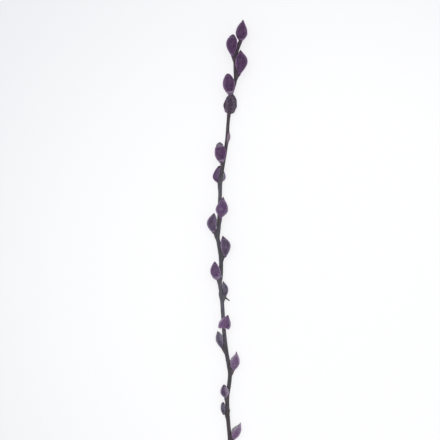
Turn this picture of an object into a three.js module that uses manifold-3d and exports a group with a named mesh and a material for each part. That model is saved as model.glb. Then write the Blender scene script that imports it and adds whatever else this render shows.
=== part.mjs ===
// A willow twig in bud, lying on a flat surface. The bark stem carries hooded purple bud scales, each
// with a silky catkin inside. Sizes are in mm: x runs across the twig, y along it from the cut end to
// the tip, and z up from the surface that it lies on.
import * as THREE from 'three';
import { mergeVertices } from 'three/addons/utils/BufferGeometryUtils.js';
import Module from 'manifold-3d';

const wasm = await Module();
wasm.setup();

const TWIG_LENGTH = 278;
const STEM_END = 265.2;
const CUT_SLANT = 1.1;
const RING_STEP = 5;
const CLEAR_OF_ENDS = 2;
const CLOSEST_RINGS = 0.3;
const END_ROUND = { below: 0.3, share: 0.85 };
const GAP = 0.3;
const SKIN = 0.6;
const FOOT_PROUD = 1.25;
const TIP_LEAN = 0.6;
const SKIN_LEAST = 0.5;
const BEAK_SHARE = 0.07;
// The slit in a scale: half its angle in degrees at the foot and at the tip, and where it is widest.
const SLIT = { foot: 8, tip: 34, widest: 0.8, waves: 17 };
// The catkin: its gap to the scale, its least share of the bud's radius, its tufts, its ends as shares
// of the bud, its depth where it is bare and how far its end points stand out.
const CATKIN = { gap: 0.45, least: 0.26, tuft: 0.16, first: 0.14, last: 0.66, bareLast: 0.97, bare: 0.3,
  footPoint: 0.25, tipPoint: 0.35 };
const STEM_SECTORS = 12;
const SKIN_COLUMNS = 12;
const SKIN_ROWS = 9;
const CATKIN_ROWS = 8;

// The stem's centre line seen from above, and how high it is carried, as [y, value] points.
const STEM_SIDEWAYS = [
  [0, 3.1], [13, 2.3], [26, 1.5], [39, 0.4], [51, 0], [59, 1.1], [65.5, 1.6], [71.5, 0.7], [80.5, -0.9],
  [91.5, -2], [108, -3.1], [114, -3.7], [119.5, -4.5], [125, -3.9], [135, -3.9], [144, -5.2],
  [147.5, -5.8], [155, -5], [173, -4.35], [180, -4.2], [188, -3.1], [199.5, -1.2], [207, -0.2],
  [219, 0.6], [224, 1.2], [233.5, 2.6], [241, 4.7], [248, 4.6], [254, 4.6], [258, 5.5], [266, 8.1],
];
const STEM_HEIGHT = [
  [0, 2.5], [31, 2.6], [73, 2.75], [88, 2.95], [117, 3.9], [150, 4.8], [185, 5.4], [228, 5.3], [278, 7],
];
const STEM_RADIUS = [
  [0, 1.42], [30, 1.22], [60, 1.22], [80, 1.26], [104, 1.18], [135, 1.22], [180, 1.18], [200, 1.08], [214, 1],
  [225, 1.05], [250, 0.95], [260, 1.05], [266, 1.45],
];

// Every bud from the tip down. foot is where it sits along the stem, tip is its point from above,
// turn is the side of the stem in degrees (0 right, 90 up, 180 left, 270 underneath). back, front and
// side are its bulge away from the stem, towards it and sideways; widest is where that bulge peaks.
// ankle is its share of fatness at the foot, and a point under 1 gives it a blunter top. hollow does
// the same for the side that faces the stem. twist turns the slit away from the stem, in degrees. base
// is how far its leaf cushion reaches down.
const BUDS = [
  { no: 1, foot: 265.6, tip: [9.4, 278], turn: 60, back: 3.8, front: 3.4, side: 3.6, widest: 0.34,
    ankle: 0.42 },
  { no: 2, foot: 256.2, tip: [3.4, 269], turn: 152, back: 4.2, front: 2.6, side: 3.7, widest: 0.54,
    point: 0.6, ankle: 0.24, swell: 1.1 },
  { no: 3, foot: 245.4, tip: [7.8, 259.8], turn: 14, back: 4.9, front: 2.8, side: 3.7, widest: 0.54,
    ankle: 0.26, swell: 1.1 },
  { no: 4, foot: 233.9, tip: [0.2, 245.5], turn: 118, back: 3.6, front: 2, side: 3.9, widest: 0.4,
    point: 0.52, ankle: 0.5 },
  { no: 5, foot: 223.1, tip: [2.7, 233.9], turn: 276, back: 3.4, front: 1.1, side: 4, widest: 0.45,
    point: 0.5, ankle: 0.74, slit: 12, wave: 9 },
  { no: 7, foot: 193.1, tip: [-4.7, 204.2], turn: 124, back: 3.5, front: 2, side: 3.8, widest: 0.4,
    point: 0.42, ankle: 0.5, cover: 0.76 },
  { no: 8, foot: 180.5, tip: [-4.7, 190.8], turn: 252, back: 3.6, front: 1, side: 4.1, widest: 0.32,
    point: 0.75, slit: 16, twist: 36 },
  { no: 9, foot: 159.5, tip: [-2.4, 172], turn: 68, back: 3.7, front: 2, side: 4, widest: 0.36,
    point: 1.15, ankle: 0.22, swell: 1.2 },
  { no: 10, foot: 150.8, tip: [-7.9, 162.2], turn: 185, back: 4.5, front: 2, side: 3.5, widest: 0.47,
    point: 0.9, base: 4.6 },
  { no: 11, foot: 136.7, tip: [-2.8, 148.6], turn: 8, back: 4.3, front: 2.1, side: 3.5, widest: 0.49,
    ankle: 0.36 },
  { no: 12, foot: 123.2, tip: [-7.6, 133.2], turn: 145, back: 3.9, front: 2.3, side: 3.3, widest: 0.41,
    point: 0.85, ankle: 0.6 },
  { no: 13, foot: 112.4, tip: [-2.6, 121.3], turn: 340, back: 2.5, front: 1.5, side: 2.6, widest: 0.44,
    thin: 0.85 },
  { no: 14, foot: 92.8, tip: [0.5, 101.2], turn: 100, back: 3.3, front: 1.8, side: 3.7, widest: 0.25,
    ankle: 0.92, torn: 0.14, tilt: 0.12, slit: 45, wave: 8, shelf: 0.6 },
  { no: 15, foot: 81.5, tip: [-5.9, 91.1], turn: 182, back: 2.3, front: 2.7, side: 3.3, widest: 0.48,
    point: 0.85, slit: 48, base: 6.2 },
  { no: 16, foot: 68, tip: [5.5, 79], turn: 6, back: 3, front: 3.2, side: 3.3, widest: 0.4,
    hollow: 2, slit: 48, twist: 14 },
  { no: 17, foot: 51.8, tip: [-2, 59.4], turn: 122, back: 2.9, front: 1, side: 2.9, widest: 0.38,
    point: 0.7, slit: 22, twist: -72 },
  { no: 18, foot: 41.3, tip: [-2.6, 48.3], turn: 188, back: 1.7, front: 1.7, side: 2.2, widest: 0.48,
    point: 0.5, ankle: 0.5, shelf: 0.7, thin: 0.6 },
  { no: 19, foot: 26.3, tip: [8.2, 36.3], turn: 12, back: 2.4, front: 3.5, side: 3.3, widest: 0.38,
    hollow: 1.8, slit: 60, twist: 20 },
];

// Dormant buds, pressed flat to the stem and one with it.
const DORMANT = [
  { at: 207.6, turn: 0, proud: 0.95, below: 4.6, above: 4.8, spread: 44 },
  { at: 14.6, turn: 200, proud: 0.9, below: 1.8, above: 5.4, spread: 44 },
];
// Old leaf scars, healed over.
const OLD_SCARS = [
  { at: 113, turn: 180, proud: 0.45, below: 4.5, above: 3, spread: 48 },
  { at: 43.2, turn: 10, proud: 0.3, below: 2.4, above: 2.4, spread: 40 },
];
// The leaf cushion that swells the stem under each bud.
const CUSHION = { drop: 0.9, proud: 1.35, below: 3.6, above: 0.8, spread: 50 };
const SPUR = { at: 113, turn: 345, length: 5.9, thick: 0.9, droop: 38, root: 0.6, sides: 7 };

const SCALE_LOOK = { color: 0x6d4c7c, roughness: 0.5, metalness: 0 };
const CATKIN_LOOK = { color: 0xbcb0c4, roughness: 0.95, metalness: 0 };
const BARK_LOOK = { color: 0x50464a, roughness: 0.75, metalness: 0 };

const radians = THREE.MathUtils.degToRad;
const ramp = (x) => THREE.MathUtils.smoothstep(x, 0, 1);

/** A smooth curve through [at, value] points, in cubic pieces that share their slope. */
function through(points, at) {
  const last = points.length - 1;
  let i = 0;
  while (i < last - 1 && at > points[i + 1][0]) i += 1;
  const slope = (k) => {
    const a = points[Math.max(k - 1, 0)];
    const b = points[Math.min(k + 1, last)];
    return (b[1] - a[1]) / (b[0] - a[0]);
  };
  const [x0, y0] = points[i];
  const [x1, y1] = points[i + 1];
  const span = x1 - x0;
  const u = THREE.MathUtils.clamp((at - x0) / span, 0, 1);
  const rise = 3 * u * u - 2 * u * u * u;
  return y0 + (y1 - y0) * rise
    + span * (slope(i) * (u ** 3 - 2 * u * u + u) + slope(i + 1) * (u ** 3 - u * u));
}

/** The stem's centre at a height y along the twig. */
function stemCentre(y) {
  return new THREE.Vector3(through(STEM_SIDEWAYS, y), y, through(STEM_HEIGHT, y));
}

/** How far a swelling stands out of the stem at y, on the side given by angle in radians. */
function swelling(lump, y, angle) {
  const turned = angle - radians(lump.turn);
  const off = Math.atan2(Math.sin(turned), Math.cos(turned));
  const round = Math.exp(-((off / radians(lump.spread)) ** 2));
  const rise = y < lump.at ? ramp(1 - (lump.at - y) / lump.below) : ramp(1 - (y - lump.at) / lump.above);
  return lump.proud * round * rise;
}

const LUMPS = [
  ...DORMANT,
  ...OLD_SCARS,
  ...BUDS.filter((bud) => bud.no > 1).map((bud) => ({
    ...CUSHION, at: bud.foot - CUSHION.drop, turn: bud.turn, proud: bud.shelf ?? CUSHION.proud,
    below: bud.base ?? CUSHION.below,
  })),
];

/** The stem's radius at y on the side given by angle, with its leaf cushions. */
function stemRadius(y, angle) {
  const lumps = LUMPS.reduce((sum, lump) => sum + swelling(lump, y, angle), 0);
  return through(STEM_RADIUS, y) + lumps;
}

/** Keeps a point clear of the stem and of the surface below; depth is how deep it lies in the bud. */
function settle(point, depth) {
  if (point.y < STEM_END) {
    const centre = stemCentre(point.y);
    const off = new THREE.Vector2(point.x - centre.x, point.z - centre.z);
    const need = stemRadius(point.y, off.angle()) + GAP + depth;
    if (off.length() < need) {
      off.setLength(need);
      point.set(centre.x + off.x, point.y, centre.z + off.y);
    }
  }
  point.z = Math.max(point.z, depth, 0);
  return point;
}

/** The bud's own axes: its foot, the way to its tip, the way off the stem and the way sideways. */
function budFrame(bud) {
  const side = radians(bud.turn);
  const off = new THREE.Vector3(Math.cos(side), 0, Math.sin(side));
  const terminal = bud.foot > STEM_END;
  const reach = terminal ? 0 : through(STEM_RADIUS, bud.foot) + FOOT_PROUD;
  const foot = stemCentre(bud.foot).addScaledVector(off, reach);
  const lift = terminal ? 0 : TIP_LEAN * off.z;
  const tip = new THREE.Vector3(bud.tip[0], bud.tip[1], foot.z + lift);
  const along = tip.clone().sub(foot);
  const length = along.length();
  along.normalize();
  off.addScaledVector(along, -off.dot(along)).normalize();
  return { foot, along, off, across: new THREE.Vector3().crossVectors(along, off), length };
}

/** How fat the bud is at t from foot (0) to tip (1), as a share of its bulge; a high point draws it in. */
function fatness(bud, t, point = 1) {
  const { widest, ankle = 0.34, swell = 0.9 } = bud;
  if (t < widest) return ankle + (1 - ankle) * Math.sin((Math.max(t, 0) / widest) * Math.PI / 2) ** swell;
  const u = (t - widest) / (1 - widest);
  return Math.max(Math.cos(u * Math.PI / 2) ** point, BEAK_SHARE);
}

/** Half the angle of the slit that faces the stem, in radians. */
function slitHalf(bud, t) {
  const { slit = SLIT.tip, wave = 0 } = bud;
  return radians(SLIT.foot + slit * ramp(t / SLIT.widest) + wave * Math.sin(SLIT.waves * t) ** 2);
}

/**
 * A point of the bud at t and angle, drawn in from the outer skin by layer, but not past least of it.
 * The layers of a small bud are thin.
 */
function budPoint(bud, frame, t, angle, layer, least) {
  const fat = fatness(bud, t, bud.point);
  const bulge = Math.cos(angle) > 0 ? bud.back * fat : bud.front * fatness(bud, t, bud.hollow ?? bud.point);
  const out = new THREE.Vector2(Math.cos(angle) * bulge, Math.sin(angle) * bud.side * fat);
  const skin = out.length();
  out.setLength(Math.max(skin - layer * (bud.thin ?? 1), skin * least));
  const point = frame.foot.clone()
    .addScaledVector(frame.along, t * frame.length)
    .addScaledVector(frame.off, out.x)
    .addScaledVector(frame.across, out.y);
  return settle(point, skin - out.length());
}

/** A closed mesh from points and the triangles between them. */
function solid(points, triangles) {
  const geometry = new THREE.BufferGeometry();
  geometry.setAttribute('position', new THREE.Float32BufferAttribute(points.flatMap((p) => p.toArray()), 3));
  geometry.setIndex(triangles);
  return geometry;
}

/** The hooded scale: a curved sheet with thickness, open on the side that faces the stem. */
function scaleGeometry(bud) {
  const frame = budFrame(bud);
  const { cover = 1, torn = 0, tilt = 0, twist = 0 } = bud;
  const points = [];
  for (const layer of [0, SKIN]) {
    for (let i = 0; i <= SKIN_ROWS; i += 1) {
      for (let j = 0; j <= SKIN_COLUMNS; j += 1) {
        const across = (2 * j) / SKIN_COLUMNS - 1;
        const start = torn * (0.5 + 0.5 * Math.cos(4.6 * across + 0.8)) + tilt * Math.sin(Math.PI * across);
        const t = start + (cover - start) * (i / SKIN_ROWS);
        const angle = radians(twist) + across * (Math.PI - slitHalf(bud, t));
        points.push(budPoint(bud, frame, t, angle, layer, SKIN_LEAST));
      }
    }
  }
  const width = SKIN_COLUMNS + 1;
  const inner = (SKIN_ROWS + 1) * width;
  const at = (i, j) => i * width + j;
  const triangles = [];
  const quad = (a, b, c, d) => triangles.push(a, b, c, a, c, d);
  for (let i = 0; i < SKIN_ROWS; i += 1) {
    for (let j = 0; j < SKIN_COLUMNS; j += 1) {
      quad(at(i, j), at(i, j + 1), at(i + 1, j + 1), at(i + 1, j));
      quad(inner + at(i, j), inner + at(i + 1, j), inner + at(i + 1, j + 1), inner + at(i, j + 1));
    }
    quad(at(i, 0), at(i + 1, 0), inner + at(i + 1, 0), inner + at(i, 0));
    const j = SKIN_COLUMNS;
    quad(at(i + 1, j), at(i, j), inner + at(i, j), inner + at(i + 1, j));
  }
  for (let j = 0; j < SKIN_COLUMNS; j += 1) {
    const i = SKIN_ROWS;
    quad(at(0, j + 1), at(0, j), inner + at(0, j), inner + at(0, j + 1));
    quad(at(i, j), at(i, j + 1), inner + at(i, j + 1), inner + at(i, j));
  }
  return solid(points, triangles);
}

/** Rings of points closed into one body, with a point at each end. */
function closedRings(rings, start, end) {
  const points = [start, ...rings.flat(), end];
  const count = rings[0].length;
  const triangles = [];
  const at = (i, j) => 1 + i * count + (j % count);
  for (let j = 0; j < count; j += 1) {
    triangles.push(0, at(0, j + 1), at(0, j));
    triangles.push(points.length - 1, at(rings.length - 1, j), at(rings.length - 1, j + 1));
    for (let i = 0; i < rings.length - 1; i += 1) {
      triangles.push(at(i, j), at(i, j + 1), at(i + 1, j + 1));
      triangles.push(at(i, j), at(i + 1, j + 1), at(i + 1, j));
    }
  }
  return solid(points, triangles);
}

/** The silky catkin: fills the scale, swells into its slit, and has tufts in staggered rows. */
function catkinGeometry(bud) {
  const frame = budFrame(bud);
  const { cover = 1, widest, twist = 0 } = bud;
  const turn = radians(twist);
  const { first, bare, tuft, least } = CATKIN;
  const last = cover < 1 ? CATKIN.bareLast : widest + (1 - widest) * CATKIN.last;
  const deep = SKIN + CATKIN.gap;
  const rings = [];
  for (let i = 0; i < CATKIN_ROWS; i += 1) {
    const atEnd = i === 0 || i === CATKIN_ROWS - 1;
    const t = first + (last - first) * (i / (CATKIN_ROWS - 1));
    const emerged = cover < 1 ? ramp((t - cover - 0.04) / 0.12) : 0;
    const edge = Math.PI - slitHalf(bud, t);
    const ring = [];
    for (let j = 0; j <= SKIN_COLUMNS; j += 1) {
      const layer = THREE.MathUtils.lerp(deep, bare, emerged) + ((i + j) % 2 || atEnd ? 0 : tuft);
      ring.push(budPoint(bud, frame, t, turn + ((2 * j) / SKIN_COLUMNS - 1) * edge, layer, least));
    }
    ring.push(budPoint(bud, frame, t, turn + Math.PI, THREE.MathUtils.lerp(deep, bare, ramp(2 * t)), least));
    rings.push(ring);
  }
  const middle = (ring) => ring.reduce((sum, p) => sum.add(p), new THREE.Vector3()).divideScalar(ring.length);
  const start = middle(rings[0]).addScaledVector(frame.along, -CATKIN.footPoint);
  const end = middle(rings[CATKIN_ROWS - 1]).addScaledVector(frame.along, CATKIN.tipPoint);
  return closedRings(rings, start, end);
}

/** The heights at which the stem needs a ring: at every swelling, and between them. */
function stemStations() {
  const wanted = [];
  for (const lump of LUMPS) {
    for (const step of [-lump.below, -lump.below * 0.6, -lump.below * 0.3, 0]) wanted.push(lump.at + step);
    wanted.push(lump.at + lump.above * 0.5, lump.at + lump.above);
  }
  for (let y = CLEAR_OF_ENDS; y < STEM_END; y += RING_STEP) wanted.push(y);
  wanted.sort((a, b) => a - b);
  return wanted.reduce((kept, y) => {
    const clear = y >= CLEAR_OF_ENDS && y < STEM_END - 2 * END_ROUND.below;
    if (clear && (kept.length === 0 || y - kept[kept.length - 1] > CLOSEST_RINGS)) kept.push(y);
    return kept;
  }, []);
}

/** The bark stem, cut on a slant at its foot and rounded off under the last bud. */
function stemGeometry() {
  const ring = (y, slant, share) => Array.from({ length: STEM_SECTORS }, (_, j) => {
    const angle = (2 * Math.PI * (j + 0.5)) / STEM_SECTORS;
    const centre = stemCentre(y);
    const radius = stemRadius(y, angle) * share;
    const point = new THREE.Vector3(Math.cos(angle), 0, Math.sin(angle)).multiplyScalar(radius);
    return point.add(centre).setY(y + slant * (1 - Math.sin(angle)));
  }).reverse();
  const rings = [ring(0, CUT_SLANT / 2, 1), ...stemStations().map((y) => ring(y, 0, 1))];
  rings.push(ring(STEM_END - END_ROUND.below, 0, END_ROUND.share));
  const start = stemCentre(0).setY(CUT_SLANT / 2);
  return closedRings(rings, start, stemCentre(STEM_END));
}

/** A manifold solid from a geometry whose equal points are merged. */
function toManifold(geometry) {
  const bare = geometry.clone();
  bare.deleteAttribute('normal');
  bare.deleteAttribute('uv');
  const merged = mergeVertices(bare, 1e-5);
  return new wasm.Manifold(new wasm.Mesh({
    numProp: 3,
    vertProperties: new Float32Array(merged.attributes.position.array),
    triVerts: new Uint32Array(merged.index.array),
  }));
}

/** The geometry of a manifold solid. */
function fromManifold(body) {
  const mesh = body.getMesh();
  const geometry = new THREE.BufferGeometry();
  geometry.setAttribute('position', new THREE.BufferAttribute(mesh.vertProperties, 3));
  geometry.setIndex(new THREE.BufferAttribute(mesh.triVerts, 1));
  return geometry;
}

/** The dry spur that points down and away under one bud. */
function spurGeometry() {
  const side = radians(SPUR.turn);
  const droop = radians(SPUR.droop);
  const way = new THREE.Vector3(
    Math.cos(side) * Math.cos(droop), -Math.sin(droop), Math.sin(side) * Math.cos(droop),
  );
  const cone = new THREE.ConeGeometry(SPUR.thick, SPUR.length, SPUR.sides);
  cone.translate(0, SPUR.length / 2, 0);
  cone.applyQuaternion(new THREE.Quaternion().setFromUnitVectors(new THREE.Vector3(0, 1, 0), way));
  const root = stemCentre(SPUR.at).addScaledVector(way, SPUR.root);
  return cone.translate(root.x, root.y, root.z);
}

/** A named piece of the twig. */
function piece(name, geometry, look) {
  const mesh = new THREE.Mesh(geometry, new THREE.MeshStandardMaterial(look));
  mesh.name = name;
  return mesh;
}

const twig = new THREE.Group();
const stem = toManifold(stemGeometry()).add(toManifold(spurGeometry()));
twig.add(piece('stem', fromManifold(stem), BARK_LOOK));
for (const bud of BUDS) {
  const number = String(bud.no).padStart(2, '0');
  twig.add(piece(`bud_scale_${number}`, scaleGeometry(bud), SCALE_LOOK));
  twig.add(piece(`catkin_${number}`, catkinGeometry(bud), CATKIN_LOOK));
}
twig.position.set(0, -TWIG_LENGTH / 2, 0);

export default twig;
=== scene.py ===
"""A willow twig in bud: a dark bark stem with hooded purple bud scales, each round a silky catkin.

The twig lies on a pale surface with its cut end at -Y and its tip bud at +Y, and the camera looks
straight down on it. Shapes are worked out in millimetres, with y counted from the cut end, and are
put into metres in the shared frame when they are written into a mesh.
"""

import logging
from dataclasses import dataclass
from enum import Enum, IntEnum
from functools import cached_property

import bpy
import numpy as np
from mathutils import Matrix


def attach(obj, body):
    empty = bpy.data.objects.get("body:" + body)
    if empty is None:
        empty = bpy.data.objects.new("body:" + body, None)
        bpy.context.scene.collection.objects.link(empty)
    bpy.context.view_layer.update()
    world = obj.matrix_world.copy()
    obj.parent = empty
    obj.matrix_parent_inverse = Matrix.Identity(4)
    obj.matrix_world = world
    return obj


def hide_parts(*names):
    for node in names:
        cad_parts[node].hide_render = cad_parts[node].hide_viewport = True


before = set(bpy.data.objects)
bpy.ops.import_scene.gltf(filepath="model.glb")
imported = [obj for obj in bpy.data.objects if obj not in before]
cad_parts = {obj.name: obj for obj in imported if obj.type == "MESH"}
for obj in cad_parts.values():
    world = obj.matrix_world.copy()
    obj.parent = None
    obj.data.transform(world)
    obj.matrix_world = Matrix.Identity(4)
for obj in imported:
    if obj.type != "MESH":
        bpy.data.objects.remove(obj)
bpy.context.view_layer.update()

log = logging.getLogger("willow_twig")

METRES = 0.001
# In mm: the whole twig, its bark up to the tip bud, how far the buds' feet stand out of the bark, and
# how much the tips of those on top and underneath lean away from it.
TWIG_LENGTH = 278.0
STEM_END = 265.2
FOOT_PROUD = 1.25
TIP_LEAN = 0.6
# In mm: how clear of the bark the buds keep, how softly they are pushed off it, and the stretch at
# the bark's end over which that push fades.
BARK_GAP = 0.05
PUSH_SOFTNESS = 0.2
PUSH_FADE = 2.0
# Corners closer than this many metres become one.
MERGE = 1e-7

Array = np.ndarray
Rgb = tuple[float, float, float]


def smooth(x: Array) -> Array:
    """A soft step from 0 to 1."""
    x = np.clip(x, 0.0, 1.0)
    return x * x * (3.0 - 2.0 * x)


def bell(x: Array, width: float) -> Array:
    """A soft bump that is 1 at 0 and fades over a width on both sides."""
    return np.exp(-((x / width) ** 2))


def wrapped(angle: Array) -> Array:
    """Angles in radians, brought between -pi and pi."""
    return np.arctan2(np.sin(angle), np.cos(angle))


def linear(red: int, green: int, blue: int) -> tuple[float, float, float, float]:
    """Turns a colour as it looks on a screen into the shader's own numbers.

    Args:
        red: Red, 0 to 255.
        green: Green, 0 to 255.
        blue: Blue, 0 to 255.

    Returns:
        The colour as red, green, blue and alpha.
    """
    parts = [c / 255.0 for c in (red, green, blue)]
    return (*(p / 12.92 if p <= 0.04045 else ((p + 0.055) / 1.055) ** 2.4 for p in parts), 1.0)


@dataclass(frozen=True)
class Curve:
    """A smooth line through (at, value) points, in cubic pieces that share their slope."""

    points: tuple[tuple[float, float], ...]

    def at(self, where: Array) -> Array:
        """Reads the curve.

        Args:
            where: Places along the curve.

        Returns:
            The value at each place.
        """
        xs, ys = np.array(self.points).T
        slope = np.concatenate((
            (ys[1:2] - ys[:1]) / (xs[1:2] - xs[:1]),
            (ys[2:] - ys[:-2]) / (xs[2:] - xs[:-2]),
            (ys[-1:] - ys[-2:-1]) / (xs[-1:] - xs[-2:-1]),
        ))
        i = np.clip(np.searchsorted(xs, where) - 1, 0, len(xs) - 2)
        span = xs[i + 1] - xs[i]
        u = np.clip((where - xs[i]) / span, 0.0, 1.0)
        lean = slope[i] * (u**3 - 2 * u * u + u) + slope[i + 1] * (u**3 - u * u)
        return ys[i] + (ys[i + 1] - ys[i]) * smooth(u) + span * lean


@dataclass(frozen=True)
class Lump:
    """A swelling on one side of the stem.

    It is `proud` mm high at the height `at`, on the side `turn` in degrees. It fades over `below` mm
    down the stem, `above` mm up it and `spread` degrees round it.
    """

    at: float
    turn: float
    proud: float
    below: float
    above: float
    spread: float

    def share(self, y: Array, angle: Array) -> Array:
        """How much of the swelling's full height each place has, from 0 to 1.

        Args:
            y: Heights along the twig.
            angle: Sides of the stem, in radians.

        Returns:
            The share at each place.
        """
        off = wrapped(angle - np.radians(self.turn))
        rise = np.where(y < self.at, 1 - (self.at - y) / self.below, 1 - (y - self.at) / self.above)
        return bell(off, np.radians(self.spread)) * smooth(rise)


class Seed(IntEnum):
    """The seed of each random draw. Those from JAGS on have the bud's number added."""

    RIDGES = 3
    FOLDS = 5
    FINE = 7
    SPUR = 9
    PORES = 11
    JAGS = 100
    FRAY = 200
    CRUMPLES = 300
    CREASES = 400
    STRIPES = 500
    SLATE = 600
    HAIRS = 1000


class Grain:
    """Smooth seeded unevenness over a surface, from -1 to 1. It repeats after LONG steps along."""

    LONG = 128

    def __init__(self, seed: int, across: int = 32) -> None:
        """Draws the unevenness.

        Args:
            seed: The seed of the random draw.
            across: After how many steps it repeats across.
        """
        self.table = np.random.default_rng(int(seed)).uniform(-1.0, 1.0, (across, self.LONG))

    def at(self, x: Array, y: Array) -> Array:
        """Reads the unevenness.

        Args:
            x: Steps across.
            y: Steps along.

        Returns:
            Its height at each place.
        """
        rows, columns = self.table.shape
        i, j = np.floor(x).astype(int), np.floor(y).astype(int)
        u, v = smooth(x - i), smooth(y - j)
        low, high = (
            self.table[i % rows, k % columns] * (1 - u) + self.table[(i + 1) % rows, k % columns] * u
            for k in (j, j + 1))
        return low * (1 - v) + high * v


def grain_round(seed: Seed, steps: int, angle: Array, along: Array) -> Array:
    """Unevenness that meets itself again after a turn.

    Args:
        seed: The seed of the random draw.
        steps: How many steps a whole turn has.
        angle: Angles, in radians.
        along: Steps along.

    Returns:
        Its height at each place.
    """
    return Grain(seed, across=steps).at(angle / (2 * np.pi) * steps, along)


class Tone(Enum):
    """The colouring of a bud scale."""

    PLUM = "plum"
    DUSK = "dusk"
    # Withered and dark: partly the scale's own colour, partly painted shade, for the bud that lies
    # under the stem.
    WITHERED_SHADED = "withered_shaded"
    VIOLET = "violet"
    MAUVE = "mauve"
    ROSE = "rose"
    SLATE = "slate"


@dataclass(frozen=True)
class Axes:
    """Where a bud sits and the ways off its stem, sideways and to its tip."""

    foot: Array
    along: Array
    off: Array
    across: Array
    length: float


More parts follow.
